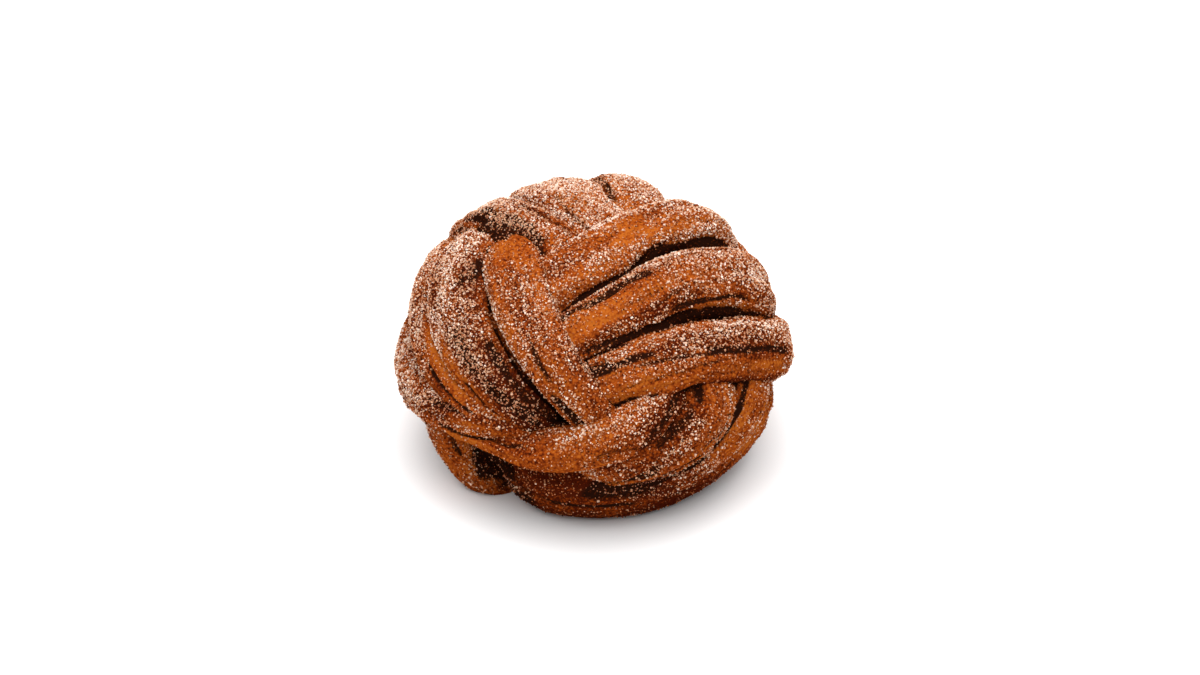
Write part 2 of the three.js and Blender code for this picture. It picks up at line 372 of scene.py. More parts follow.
# Smooth golden patches with few grains, laid as the streaks are: half width and strength.
GOLDEN = {
    "shoulder_top": [
        (0.12, 0.1, 0.28, 0.2, 3.0, 0.7),
        (0.34, 0.1, 0.5, 0.25, 1.4, 0.55),
        (0.32, -0.1, 0.58, -0.22, 1.2, 0.5),
    ],
    "shoulder_middle": [(0.12, 0.0, 0.28, 0.1, 3.0, 0.8), (0.28, 0.38, 0.42, 0.42, 1.2, 0.4)],
    "shoulder_low": [(0.2, 0.38, 0.74, 0.45, 2.8, 0.95)],
    "front_slope": [
        (0.16, 0.0, 0.34, 0.0, 4.5, 0.5),
        (0.48, 0.55, 0.7, 0.6, 1.6, 0.5),
        (0.6, -0.1, 0.8, -0.1, 3.0, 0.35),
    ],
    "flank_upper": [
        (0.58, 0.4, 0.72, 0.3, 2.2, 0.8),
        (0.7, 0.22, 0.84, 0.24, 1.3, 0.9),
        (0.72, 0.6, 0.84, 0.55, 1.3, 0.9),
    ],
    "flank_lower": [(0.5, -0.35, 0.75, -0.35, 1.8, 0.7), (0.6, 0.25, 0.8, 0.2, 1.4, 0.8)],
    "flank_rim": [(0.68, -0.15, 0.9, -0.15, 1.6, 1.0), (0.58, 0.4, 0.8, 0.42, 1.4, 0.9)],
    "front_main": [(0.42, -0.1, 0.58, 0.0, 2.5, 0.8), (0.56, -0.1, 0.95, 0.0, 3.2, 1.0)],
    "front_right": [(0.3, 0.1, 0.4, 0.15, 2.0, 0.4), (0.44, -0.38, 0.66, -0.42, 1.2, 0.7)],
    "front_under": [(0.14, 0.1, 0.36, 0.0, 5.0, 0.7), (0.74, 0.2, 0.9, 0.2, 4.0, 0.7)],
    "foot_front": [(0.2, 0.3, 0.4, 0.3, 3.0, 0.5), (0.55, 0.2, 0.85, 0.2, 3.0, 0.5)],
    "heel_front": [(0.36, -0.45, 0.66, -0.35, 3.6, 0.8)],
    "back_middle": [(0.3, -0.2, 0.65, -0.1, 2.4, 0.7)],
    "back_outer": [(0.2, 0.1, 0.55, 0.1, 2.4, 0.6)],
    "heel_upper": [(0.25, 0.1, 0.5, 0.1, 3.0, 0.7)],
    "heel_lower": [(0.3, -0.3, 0.7, -0.3, 2.4, 0.6)],
}

# How thickly each strip is sugared, from 0 to 1, and the patches where more sugar lies, or
# less where the strength is below 0.
SUGAR_LEVEL = {
    "shoulder_top": 0.34,
    "shoulder_middle": 0.3,
    "shoulder_low": 0.26,
    "front_slope": 0.26,
    "front_main": 0.1,
    "front_right": 0.28,
    "front_under": 0.24,
    "foot_front": 0.03,
    "heel_front": 0.3,
    "crown_middle": 0.74,
    "crown_right": 0.6,
}
USUAL_SUGAR_LEVEL = 0.34
SUGARED = {
    "shoulder_top": [
        (0.16, -0.5, 0.75, -0.5, 2.4, 0.5),
        (0.6, 0.1, 0.9, 0.3, 7.0, 0.45),
        (0.36, 0.55, 0.7, 0.6, 1.6, 0.4),
    ],
    "shoulder_middle": [
        (0.14, -0.6, 0.6, -0.6, 2.2, 0.55),
        (0.5, -0.2, 0.85, 0.2, 7.0, 0.26),
        (0.24, 0.5, 0.4, 0.6, 1.2, 0.3),
    ],
    "shoulder_low": [
        (0.15, -0.65, 0.8, -0.6, 2.6, 0.28),
        (0.28, -0.2, 0.7, -0.12, 1.8, 0.2),
        (0.68, -0.3, 0.85, 0.0, 4.0, 0.3),
    ],
    "front_slope": [
        (0.36, -0.3, 0.6, 0.0, 3.5, 0.35),
        (0.2, 0.72, 0.6, 0.75, 1.6, 0.35),
        (0.3, -0.75, 0.8, -0.7, 1.6, 0.35),
    ],
    "flank_upper": [
        (0.2, 0.1, 0.62, 0.0, 7.0, 0.5),
        (0.5, -0.1, 0.85, -0.2, 5.0, 0.32),
        (0.78, -0.5, 0.96, -0.3, 3.0, -0.14),
    ],
    "flank_lower": [(0.15, 0.0, 0.46, 0.0, 5.0, 0.3)],
    "flank_rim": [(0.2, -0.4, 0.58, -0.3, 5.0, 0.35), (0.6, -0.5, 0.74, -0.4, 1.5, 0.4)],
    "front_main": [
        (0.16, 0.55, 0.48, 0.6, 2.3, 0.5),
        (0.2, 0.2, 0.42, 0.2, 2.5, 0.22),
        (0.3, -0.55, 0.44, -0.5, 1.2, 0.3),
        (0.14, 0.0, 0.3, -0.25, 4.0, 0.32),
    ],
    "front_right": [(0.38, 0.25, 0.6, 0.1, 2.4, 0.25), (0.24, -0.26, 0.44, -0.3, 1.4, 0.45)],
    "front_under": [
        (0.1, 0.0, 0.42, 0.1, 5.0, 0.45),
        (0.3, 0.35, 0.5, 0.3, 1.0, 0.4),
        (0.55, 0.0, 1.0, 0.0, 14.0, -0.16),
        (0.55, 0.2, 0.76, 0.2, 4.0, 0.18),
    ],
    "crown_left": [
        (0.3, -0.2, 0.56, -0.3, 5.0, 0.35),
        (0.6, -0.2, 0.8, -0.2, 3.0, 0.2),
        (0.44, 0.15, 0.72, 0.1, 2.6, 0.4),
    ],
}

# The parts of the finish that each vertex notes, from 0 to 1. The cinnamon mark also holds
# painted shade in the gaps between strips, and the bake mark holds painted shade on the low front.
MARKS = ("cinnamon", "golden", "sugar", "bake")
CINNAMON_AND_SHADE, GOLD, SUGAR, BAKE_AND_SHADE = range(len(MARKS))

# The uneven layers of the dough: the height, length and width of their swells in millimetres.
SWELLS = ((0.55, 16, 8), (0.4, 9, 2.6), (0.14, 2.5, 1.5))

LAYER_STEP = 0.35  # how far one side of a streak stands above the other, as a share of its depth
LAYER_FADE = 3  # where that step has faded, in half widths of the streak
FILLING_SPREAD = 1.8  # how far a streak's cinnamon spreads over its edges
BARE_DEPTH = 0.55  # in millimetres: streaks deeper than this hold few grains
SHADE_FROM = 0.5  # the share of the sky that is hidden where painted shade, as dark cinnamon, starts to fill a gap
SHADE_OVER = 0.22  # how much more of it is hidden where that painted shade is quite dark
NO_SUGAR_FROM = 0.94  # the share that is hidden where no sugar comes
NO_SUGAR_OVER = 0.32  # how much less of it is hidden where all the sugar comes
LEAST_SUGAR = 0.06
USUAL_BAKE = 0.42
SEAM_DARKNESS = 0.2
CORE_SHEAF = "heel_strips"  # the piece that the core is joined to

# Numbers that keep the unevenness of each kind of patch apart from that of the streaks.
GOLDEN_NUMBER, SUGARED_NUMBER, BAKED_NUMBER = 20, 40, 60
WANDER, PATCHINESS, RAGGEDNESS = 31, 32, 33


def smooth(value):
    """The ease from 0 to 1 of a value that runs from 0 to 1."""
    value = np.clip(value, 0, 1)
    return value * value * (3 - 2 * value)


def unit(vectors):
    """The same directions with a length of 1."""
    return vectors / np.linalg.norm(vectors, axis=-1, keepdims=True)


def noise(x, y, seed):
    """Smooth noise from about -1 to 1, with one hill to each unit of x and y."""
    cells = 64
    table = np.random.default_rng(seed).uniform(-1, 1, (cells, cells))
    column, row = np.floor(x).astype(int), np.floor(y).astype(int)
    right, up = smooth(x - column), smooth(y - row)
    near = table[column % cells, row % cells] * (1 - right)
    near = near + table[(column + 1) % cells, row % cells] * right
    far = table[column % cells, (row + 1) % cells] * (1 - right)
    far = far + table[(column + 1) % cells, (row + 1) % cells] * right
    return near * (1 - up) + far * up


def semi_axes(directions):
    """Half the bun's width, depth and height, as each direction from its middle meets them."""
    axes = np.empty(directions.shape)
    axes[..., 0] = WIDTH / 2
    axes[..., 1] = DEPTH / 2
    axes[..., 2] = np.where(directions[..., 2] < 0, UNDER_DEPTH, HEIGHT - WAIST_HEIGHT)
    return axes


def outline_normal(points):
    """The outward normal of the bun's rounded outline nearest to each point."""
    from_middle = points - MIDDLE
    return unit(from_middle / semi_axes(from_middle) ** 2)


def depth_below_outline(points):
    """How far each point lies below the crowns of the strips."""
    from_middle = points - MIDDLE
    share = np.linalg.norm(from_middle / semi_axes(from_middle), axis=-1)
    return np.linalg.norm(from_middle, axis=-1) * (1 / share - 1)


def crown_places(places):
    """The points on a strip's middle line under the places that its crown passes."""
    turn, climb, lift = np.array(places, dtype=float).T
    turn, climb, lift = np.radians(turn), np.radians(climb), lift * MM
    directions = np.stack(
        [np.cos(climb) * np.sin(turn), -np.cos(climb) * np.cos(turn), np.sin(climb)], axis=-1
    )
    crowns = MIDDLE + directions * semi_axes(directions)
    return crowns + outline_normal(crowns) * (lift - STRIP_THICKNESS / 2)[:, None]


def tucked(end, before):
    """The hidden place past a strip's end, where it sinks under its neighbours."""
    return end + unit(end - before) * TUCK_REACH - outline_normal(end) * TUCK_DEPTH


def smooth_path(points, bits=80):
    """A centripetal Catmull-Rom curve through the points, with places close together."""
    points = np.vstack([2 * points[0] - points[1], points, 2 * points[-1] - points[-2]])
    share = np.linspace(0, 1, bits, endpoint=False)[:, None]
    stretches = []
    for before, start, end, after in zip(points, points[1:], points[2:], points[3:]):
        pairs = (before, start), (start, end), (end, after)
        gaps = [np.linalg.norm(b - a) ** 0.5 for a, b in pairs]
        leave = (start - before) / gaps[0] - (end - before) / (gaps[0] + gaps[1])
        leave = (leave + (end - start) / gaps[1]) * gaps[1]
        arrive = (end - start) / gaps[1] - (after - start) / (gaps[1] + gaps[2])
        arrive = (arrive + (after - end) / gaps[2]) * gaps[1]
        square = 3 * (end - start) - 2 * leave - arrive
        cube = 2 * (start - end) + leave + arrive
        stretches.append(start + leave * share + square * share**2 + cube * share**3)
    return np.vstack([*stretches, points[-2]])


class Path:
    """The line through the middle of a strip, by shares of its length."""

    def __init__(self, places):
        crowns = crown_places(places)
        ends = tucked(crowns[0], crowns[1]), tucked(crowns[-1], crowns[-2])
        self.points = smooth_path(np.vstack([ends[0], crowns, ends[1]]))
        steps = np.linalg.norm(np.diff(self.points, axis=0), axis=1)
        self.length = steps.sum()
        self.shares = np.append(0, np.cumsum(steps)) / self.length

    def at(self, share):
        """The points at these shares of the length."""
        return np.stack([np.interp(share, self.shares, c) for c in self.points.T], axis=-1)

    def tangent(self, share):
        """The way that the line runs there."""
        reach = 0.004
        return unit(self.at(np.clip(share + reach, 0, 1)) - self.at(np.clip(share - reach, 0, 1)))


def bent(value):
    """A sine or cosine pushed outwards, which turns an ellipse into a rounded oblong."""
    return np.sign(value) * np.abs(value) ** (2 / SECTION_SQUARENESS)


class Section:
    """The rounded section of a strip, with its vertices closer together on the outer side."""

    def __init__(self, width):
        self.angles = np.linspace(-math.pi / 2, 3 * math.pi / 2, SECTION_STEPS + 1)
        across = bent(np.cos(self.angles)) * width / 2
        up = bent(np.sin(self.angles)) * STRIP_THICKNESS / 2
        steps = np.hypot(np.diff(across), np.diff(up))
        closeness = 1 + TOP_SHARPNESS * smooth(0.5 + up[1:] / STRIP_THICKNESS)
        self.round = np.append(0, np.cumsum(steps))
        self.girth = self.round[-1]
        self.shares = np.append(0, np.cumsum(steps * closeness))
        self.shares /= self.shares[-1]

    def angle(self, share):
        """The angle at a share of the vertices round the strip."""
        return np.interp(share, self.shares, self.angles)

    def from_middle_line(self, share):
        """The way round from the outer side's middle line, towards the strip's side."""
        return self.girth / 2 - np.interp(share, self.shares, self.round)


def strip_skin(path, widths, along, angle):
    """Points of a strip's smooth skin, the ways out of it there, and how plump the strip is."""
    plump = (1 - np.abs(2 * along - 1) ** END_ROUNDNESS) ** (1 / END_ROUNDNESS)
    centre, tangent = path.at(along), path.tangent(along)
    side = unit(np.cross(tangent, outline_normal(centre)))
    up = np.cross(side, tangent)
    half_width = np.interp(along, np.linspace(0, 1, len(widths)), np.array(widths) * MM / 2)
    half_thickness = STRIP_THICKNESS / 2
    skin = centre + side * (bent(np.cos(angle)) * plump * half_width)[:, None]
    skin = skin + up * (bent(np.sin(angle)) * plump * half_thickness)[:, None]
    outward = side * (np.cos(angle) / half_width)[:, None]
    outward = unit(outward + up * (np.sin(angle) / half_thickness)[:, None])
    return skin, outward, plump


def plain_skins():
    """Every strip without its layers, as rings of as few points as the solid has."""
    angles = np.arange(SIDES) / SIDES * 2 * math.pi
    along, angle = np.meshgrid(np.arange(STEPS + 1) / STEPS, angles, indexing="ij")
    return [
        strip_skin(Path(places), widths, along.ravel(), angle.ravel())[0].reshape(-1, SIDES, 3)
        for strips in SHEAVES.values()
        for widths, places in strips.values()
    ]


# The plain strips, and the level shift that puts their middle over the solid's middle.
PLAIN = np.array(plain_skins())
SHIFT = (np.array(lowest) + np.array(highest)) / 2
SHIFT = SHIFT - (PLAIN.min(axis=(0, 1, 2)) + PLAIN.max(axis=(0, 1, 2))) / 2
SHIFT[2] = 0


def plain_weave():
    """All the plain strips together, for finding what lies in the way of the light."""
    corner = np.arange(PLAIN[..., 0].size).reshape(PLAIN.shape[:3])
    beside = np.roll(corner, -1, axis=2)
    faces = np.stack([corner[:, :-1], beside[:, :-1], beside[:, 1:], corner[:, 1:]], axis=-1)
    return BVHTree.FromPolygons(PLAIN.reshape(-1, 3).tolist(), faces.reshape(-1, 4).tolist())


WEAVE = plain_weave()


def sky_ways(count):
    """Ways evenly spread over the sky, with more of them straight up."""
    number = np.arange(count) + 0.5
    height = np.sqrt(1 - number / count)
    turn = number * math.pi * (3 - math.sqrt(5))
    level = np.sqrt(1 - height**2)
    return np.stack([level * np.cos(turn), level * np.sin(turn), height], axis=-1)


def blocked(tree, start, way, reach):
    """Whether something lies in the way from a point."""
    return tree.ray_cast(Vector(start), Vector(way), reach)[0] is not None


def shelter_of(path, widths, section):
    """How much of the sky other strips hide, from 0 to 1, at even steps along and round a strip."""
    shares = np.linspace(0, 1, SHELTER_STEPS[0]), np.linspace(0, 1, SHELTER_STEPS[1])
    along, turn = np.meshgrid(*shares, indexing="ij")
    short_of_tips = np.clip(along.ravel(), 0.01, 0.99)
    points, outward, _ = strip_skin(path, widths, short_of_tips, section.angle(turn.ravel()))
    starts = points + outward * 0.5 * MM
    any_way = (0.3, 0.5, 0.8)
    level = unit(np.cross(outward, any_way))
    frames = np.stack([level, np.cross(outward, level), outward], axis=1)
    hidden = [
        sum(blocked(WEAVE, start, way, SHELTER_REACH) for way in around)
        for start, around in zip(starts, sky_ways(SKY_WAYS) @ frames)
    ]
    return np.array(hidden).reshape(along.shape) / SKY_WAYS


def between(grid, along, turn):
    """The value at each place between the even steps of a grid."""
    row, column = along * (grid.shape[0] - 1), turn * (grid.shape[1] - 1)
    top = np.minimum(row.astype(int), grid.shape[0] - 2)
    left = np.minimum(column.astype(int), grid.shape[1] - 2)
    down, right = row - top, column - left
    above = grid[top, left] * (1 - right) + grid[top, left + 1] * right
    below = grid[top + 1, left] * (1 - right) + grid[top + 1, left + 1] * right
    return above * (1 - down) + below * down


def numbers_of(collection, key, width):
    """A number or vector of every member of a mesh's collection, as rows."""
    numbers = np.empty(len(collection) * width, np.float32)
    collection.foreach_get(key, numbers)
    return numbers.reshape(-1, width).astype(float)


def whole_numbers_of(collection, key, width=1):
    """Whole numbers of every member of a mesh's collection, one after another."""
    numbers = np.empty(len(collection) * width, np.int32)
    collection.foreach_get(key, numbers)
    return numbers


def triangles_of(mesh):
    """The vertices of each triangle of a mesh."""
    mesh.calc_loop_triangles()
    return whole_numbers_of(mesh.loop_triangles, "vertices", 3).reshape(-1, 3)


def marks_of(mesh):
    """The finish noted at each vertex, with a column for each of its parts."""
    return np.hstack([numbers_of(mesh.attributes[name].data, "value", 1) for name in MARKS])


def patch_cover(patch, across, along, length, quarter, seed):
    """How much a patch covers each place, and how far the place lies to its side."""
    start, start_side, end, end_side, half_width = patch[:5]
    share = np.clip((along / length - start) / (end - start), 0, 1)
    line = (start_side + (end_side - start_side) * share) * quarter
    line = line + 1.0 * MM * noise(along / (8 * MM), 0 * along + seed, WANDER)
    ragged = 1 + 0.3 * noise(along / (3 * MM), across / (3 * MM) + seed, RAGGEDNESS)
    aside = (across - line) / (half_width * MM) * ragged
    fade = 6 * MM / length
    ends = smooth((along / length - start) / fade + 0.5) * smooth((end - along / length) / fade + 0.5)
    patchy = 0.8 + 0.4 * noise(along / (5 * MM), across / (4 * MM) + seed, PATCHINESS)
    return np.exp(-(aside**2)) * ends * np.clip(patchy, 0, 1), aside


def seams_of(seed, count=5):
    """Shallow grooves between layers of dough, spread at random over a strip."""
    rng = np.random.default_rng(seed)
    sides = np.linspace(-0.85, 0.85, count) + rng.uniform(-0.14, 0.14, count)
    seams = []
    for side in sides:
        start = rng.uniform(-0.2, 0.45)
        end = start + rng.uniform(0.4, 0.9)
        end_side = side + rng.uniform(-0.15, 0.15)
        half_width = rng.uniform(0.5, 0.9)
        depth = rng.uniform(0.2, 0.5)
        seams.append((start, side, end, end_side, half_width, depth, SEAM_DARKNESS))
    return seams


class Strip:
    """Where the vertices of a strip lie on its smooth skin, and how much shelters them."""

    def __init__(self, name, mesh, widths, places, seed):
        self.name, self.seed = name, seed
        self.path = Path(places)
        self.section = Section(np.mean(widths) * MM)
        self.quarter = self.section.girth / 4
        self.uv = numbers_of(mesh.uv_layers.active.uv, "vector", 2)
        place = np.empty((len(mesh.vertices), 2))
        place[whole_numbers_of(mesh.loops, "vertex_index")] = self.uv
        turn, along = place[:, 0], np.clip(1 - place[:, 1], 0, 1)
        angle = self.section.angle(turn)
        self.skin, self.outward, self.plump = strip_skin(self.path, widths, along, angle)
        self.aside = self.section.from_middle_line(turn)
        self.way = along * self.path.length
        shelter = between(shelter_of(self.path, widths, self.section), along, turn)
        self.shelter = shelter + 0.06 * self.uneven(3, 2, 6)

    def uneven(self, length, width, number):
        """Noise over the strip, with the length and width of its hills in millimetres."""
        return noise(self.way / (length * MM), self.aside / (width * MM), self.seed + number)

    def cover(self, patch, number):
        """How much a patch covers each vertex, and how far the vertex lies to its side."""
        seed = self.seed + 7 * number
        return patch_cover(patch, self.aside, self.way, self.path.length, self.quarter, seed)

    def total(self, table, first_number):
        """The strengths of all the patches that a table lays on this strip, added up."""
        amount = 0 * self.way
        for number, patch in enumerate(table.get(self.name, []), start=first_number):
            amount = amount + self.cover(patch, number)[0] * patch[5]
        return amount

    def layers(self):
        """How high the layers stand, how dark with cinnamon and painted shade, and how bare of grains.
        """
        relief, bare = 0 * self.way, 0 * self.way
        for number, (height, length, width) in enumerate(SWELLS):
            relief = relief + height * MM * self.uneven(length, width, number)
        # Painted shade: the more of the sky other strips hide, the darker the crust is painted, as
        # cinnamon.
        cinnamon = smooth((self.shelter - SHADE_FROM) / SHADE_OVER)
        for number, streak in enumerate([*STREAKS_AND_GAP_SHADE.get(self.name, []), *seams_of(self.seed)]):
            covered, beside = self.cover(streak, number)
            depth, darkness = streak[5:]
            edge = np.tanh(beside) * np.exp(-((beside / LAYER_FADE) ** 2))
            relief = relief + (LAYER_STEP * edge - covered) * depth * MM
            filling_and_shade = np.clip(covered * FILLING_SPREAD, 0, 1) * darkness
            cinnamon = np.maximum(cinnamon, filling_and_shade)
            deep = smooth((depth - BARE_DEPTH) / 0.4)
            bare = np.maximum(bare, smooth(covered * deep * 2.5 - 0.75))
        return relief, cinnamon, bare

    def sugar(self, golden, bare):
        """How thickly sugar lies: less on golden patches, in gaps and where streaks are bare."""
        sugar = self.total(SUGARED, SUGARED_NUMBER)
        sugar = sugar + SUGAR_LEVEL.get(self.name, USUAL_SUGAR_LEVEL) - 0.5 * golden
        sugar = sugar + 0.25 * self.uneven(9, 5, 3)
        sugar = sugar + 0.18 * self.uneven(3, 2.5, 5)
        # Less sugar where other strips shelter the crust, which also keeps the gaps dark: partly painted
        # shade.
        reached = smooth((NO_SUGAR_FROM - self.shelter) / NO_SUGAR_OVER)
        return np.maximum(sugar, LEAST_SUGAR) * reached * (1 - bare)

    def bake(self, golden):
        """How darkly the dough is baked, with painted shade on the low front."""
        bake = USUAL_BAKE + 0.35 * self.uneven(18, 5, 4)
        return bake + self.total(BAKED_AND_SHADED, BAKED_NUMBER) - 0.3 * golden


def mark(mesh, **finish):
    """Notes the parts of the finish at each vertex."""
    for name in MARKS:
        attribute = mesh.attributes.new(name, "FLOAT", "POINT")
        attribute.data.foreach_set("value", np.clip(finish[name], 0, 1).astype(np.float32))


def lay_map(mesh, strip):
    """Lays the map of the crust's pattern across and along the strip, in millimetres."""
    across = strip.section.from_middle_line(strip.uv[:, 0])
    along = (1 - strip.uv[:, 1]) * strip.path.length
    laid = np.stack([across, along], axis=-1) / MM
    mesh.uv_layers.active.uv.foreach_set("vector", laid.astype(np.float32).ravel())
    mesh.uv_layers.active.name = "strip"


def shape_strip(name, mesh, widths, places, seed):
    """Lays a sphere's rings along a strip's path, raises its layers and marks its finish."""
    strip = Strip(name, mesh, widths, places, seed)
    relief, cinnamon, bare = strip.layers()
    golden = strip.total(GOLDEN, GOLDEN_NUMBER)
    outer = smooth(1.6 - np.abs(strip.aside) / strip.quarter)
    points = strip.skin + strip.outward * (relief * outer * strip.plump)[:, None] + SHIFT
    mesh.vertices.foreach_set("co", points.astype(np.float32).ravel())
    lay_map(mesh, strip)
    sugar, bake = strip.sugar(golden, bare), strip.bake(golden)
    mark(mesh, cinnamon=cinnamon, golden=golden, sugar=sugar, bake=bake)
    mesh.update()


def strip_object(name, widths, places, seed):
    """One strip of dough as a closed solid."""
    rings = round(Path(places).length / RING_GAP)
    bpy.ops.mesh.primitive_uv_sphere_add(segments=FINE_SIDES, ring_count=rings)
    strip = bpy.context.object
    strip.name = name
    shape_strip(name, strip.data, widths, places, seed)
    return strip


def combine(body, other, operation):
    """Joins the other solid to the body or cuts it away from it, and removes the other."""
    modifier = body.modifiers.new(operation, "BOOLEAN")
    modifier.operation = operation
    modifier.solver = "MANIFOLD"
    modifier.object = other
    bpy.context.view_layer.objects.active = body
    bpy.ops.object.modifier_apply(modifier=modifier.name)
    bpy.data.objects.remove(other)


def volume(mesh):
    """The space that a closed mesh holds, less than 0 where its faces point inwards."""
    corners = numbers_of(mesh.vertices, "co", 3)[triangles_of(mesh)]
    return np.einsum("ij,ij->", corners[:, 0], np.cross(corners[:, 1], corners[:, 2])) / 6


def keep_outside(body):
    """Drops the shells of the small spaces that touching strips shut in."""
    bpy.ops.object.select_all(action="DESELECT")
    body.select_set(True)
    bpy.context.view_layer.objects.active = body
    bpy.ops.mesh.separate(type="LOOSE")
    for shell in list(bpy.context.selected_objects):
        if volume(shell.data) < SMALLEST_SOLID:
            bpy.data.objects.remove(shell)
    solids = list(bpy.context.selected_objects)
    bpy.context.view_layer.objects.active = solids[0]
    if len(solids) > 1:
        bpy.ops.object.join()
    return solids[0]


def dough_core():
    """The plain middle that the strips are baked onto, painted fully dark as the shade deep in the gaps.
    """
    bpy.ops.mesh.primitive_uv_sphere_add(segments=64, ring_count=32)
    core = bpy.context.object
    points = numbers_of(core.data.vertices, "co", 3)
    crowns = MIDDLE + points * semi_axes(points)
    laid = crowns - outline_normal(crowns) * CORE_INSET + SHIFT
    core.data.vertices.foreach_set("co", laid.astype(np.float32).ravel())
    core.data.uv_layers.active.name = "strip"
    plain = np.ones(len(points))
    # Painted shade: the core shows only deep in the gaps, so it is marked fully dark.
    mark(core.data, cinnamon=plain, golden=0 * plain, sugar=0.2 * plain, bake=plain)
    core.data.update()
    return core


def cut_foot(body):
    """Cuts the body off flat at the level that it rests on."""
    room = 4 * HEIGHT
    bpy.ops.mesh.primitive_cube_add(size=room, location=(0, 0, -room / 2))
    combine(body, bpy.context.object, "DIFFERENCE")


def spread_marks(mesh):
    """Gives the corners that the joins have made the mean finish of the corners beside them."""
    rounds = 3
    marks = marks_of(mesh)
    ends = whole_numbers_of(mesh.edges, "vertices", 2).reshape(-1, 2)
    ends = np.vstack([ends, ends[:, ::-1]])
    for _ in range(rounds):
        unmarked = marks.sum(axis=1) == 0
        here, beside = ends[~unmarked[ends[:, 1]]].T
        total = [np.bincount(here, column[beside], len(marks)) for column in marks.T]
        count = np.bincount(here, minlength=len(marks))
        filled = unmarked & (count > 0)
        marks[filled] = (np.stack(total, axis=-1)[filled].T / count[filled]).T
    for name, values in zip(MARKS, marks.T):
        mesh.attributes[name].data.foreach_set("value", values.astype(np.float32))


def bake_sheaf(name, strips, first_seed):
    """Makes one piece of the strips that lie side by side in a sheaf."""
    bpy.ops.object.select_all(action="DESELECT")
    body = None
    for number, (strip_name, (widths, places)) in enumerate(strips.items()):
        strip = strip_object(strip_name, widths, places, first_seed + 10 * number)
        if body:
            combine(body, strip, "UNION")
        else:
            body = strip
    if name == CORE_SHEAF:
        combine(body, dough_core(), "UNION")
    if numbers_of(body.data.vertices, "co", 3)[:, 2].min() < 0:
        cut_foot(body)
    body = keep_outside(body)
    spread_marks(body.data)
    body.name = name
    return body


def finish_piece(piece, material):
    """Gives a piece its finish and its place in the part."""
    piece.data.materials.clear()
    piece.data.materials.append(material)
    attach(piece, "root")
    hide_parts("croissant")


def node(tree, kind, **values):
    """A new node, with its sockets or settings at these values."""
    made = tree.nodes.new(kind)
    for key, value in values.items():
        if key in made.inputs:
            made.inputs[key].default_value = value
        else:
            setattr(made, key, value)
    return made


def ramp(tree, factor, stops):
    """A colour that runs through the stops as the factor runs from 0 to 1."""
    made = tree.nodes.new("ShaderNodeValToRGB")
    while len(made.color_ramp.elements) < len(stops):
        made.color_ramp.elements.new(1)
    for element, (position, colour) in zip(made.color_ramp.elements, stops):
        element.position = position
        element.color = (*colour, 1)
    tree.links.new(factor, made.inputs["Fac"])
    return made.outputs["Color"]


def covered_with(tree, factor, below, colour):
    """The colour below, covered with another colour as far as the factor says."""
    made = tree.nodes.new("ShaderNodeMix")
    made.data_type = "RGBA"
    factor_socket, below_socket, colour_socket = made.inputs[0], made.inputs[6], made.inputs[7]
    tree.links.new(factor, factor_socket)
    tree.links.new(below, below_socket)
    colour_socket.default_value = (*colour, 1)
    return made.outputs[2]


def math_node(tree, operation, first, second, clamp=False):
    """What an operation makes of a socket and another socket or a number."""
    made = tree.nodes.new("ShaderNodeMath")
    made.operation = operation
    made.use_clamp = clamp
    for socket, value in zip(made.inputs, (first, second)):
        if isinstance(value, (int, float)):
            socket.default_value = value
        else:
            tree.links.new(value, socket)
    return made.outputs[0]


def weighed(tree, parts, less=0.0, clamp=True):
    """Sockets added up by their weights, less a number."""
    total = None
    for socket, weight in parts:
        part = math_node(tree, "MULTIPLY", socket, weight)
        total = part if total is None else math_node(tree, "ADD", total, part)
    return math_node(tree, "SUBTRACT", total, less, clamp)


def noise_node(tree, vector, scale, detail, roughness):
    """Noise from 0 to 1 on a map or on the object's own place."""
    made = node(tree, "ShaderNodeTexNoise", Scale=scale, Detail=detail, Roughness=roughness)
    tree.links.new(vector, made.inputs["Vector"])
    return made.outputs["Fac"]


def attribute(tree, name):
    """What each vertex notes under a name."""
    return node(tree, "ShaderNodeAttribute", attribute_name=name).outputs["Fac"]


def crust_patterns(tree):
    """Streaks that run along the strips, and blotches, grit and specks all over the crust."""
    place = tree.nodes.new("ShaderNodeTexCoord").outputs["Object"]
    strip_map = node(tree, "ShaderNodeUVMap", uv_map="strip")
    stretch = node(tree, "ShaderNodeMapping", Scale=(0.6, 0.06, 1.0))
    tree.links.new(strip_map.outputs["UV"], stretch.inputs["Vector"])
    streaks = noise_node(tree, stretch.outputs["Vector"], 1.0, 5.0, 0.62)
    blotches = noise_node(tree, place, 260.0, 4.0, 0.6)
    grit = noise_node(tree, place, 1500.0, 3.0, 0.7)
    specks = node(tree, "ShaderNodeTexVoronoi", Scale=1500.0)
    tree.links.new(place, specks.inputs["Vector"])
    return streaks, blotches, grit, specks.outputs["Distance"]


def crust_colour(tree, streaks, blotches, grit, specks):
    """Dough from golden to dark brown, then cinnamon filling and painted shade, then a dust of sugar."""
    browning = [
        (attribute(tree, "bake"), 1.0), (streaks, 0.9), (blotches, 0.5), (grit, 1.5), (specks, 0.9)
    ]
    dough = ramp(
        tree,
        weighed(tree, browning, less=1.82),
        [
            (0.0, (0.34, 0.085, 0.01)),
            (0.25, (0.27, 0.053, 0.006)),
            (0.55, (0.17, 0.027, 0.0035)),
            (0.9, (0.05, 0.006, 0.0015)),
        ],
    )
    filling_and_shade = [(attribute(tree, "cinnamon"), 3.0), (streaks, 1.4), (grit, 2.2)]
    filling_and_shade = weighed(tree, filling_and_shade, less=3.5)
    dust = weighed(tree, [(attribute(tree, "sugar"), 0.5), (grit, 1.0)], less=1.0)
    # The near-black cover paints the cinnamon filling and the shade in the gaps: painted shade.
    filled = covered_with(tree, filling_and_shade, dough, (0.014, 0.004, 0.002))
    return covered_with(tree, dust, filled, (0.3, 0.12, 0.06))


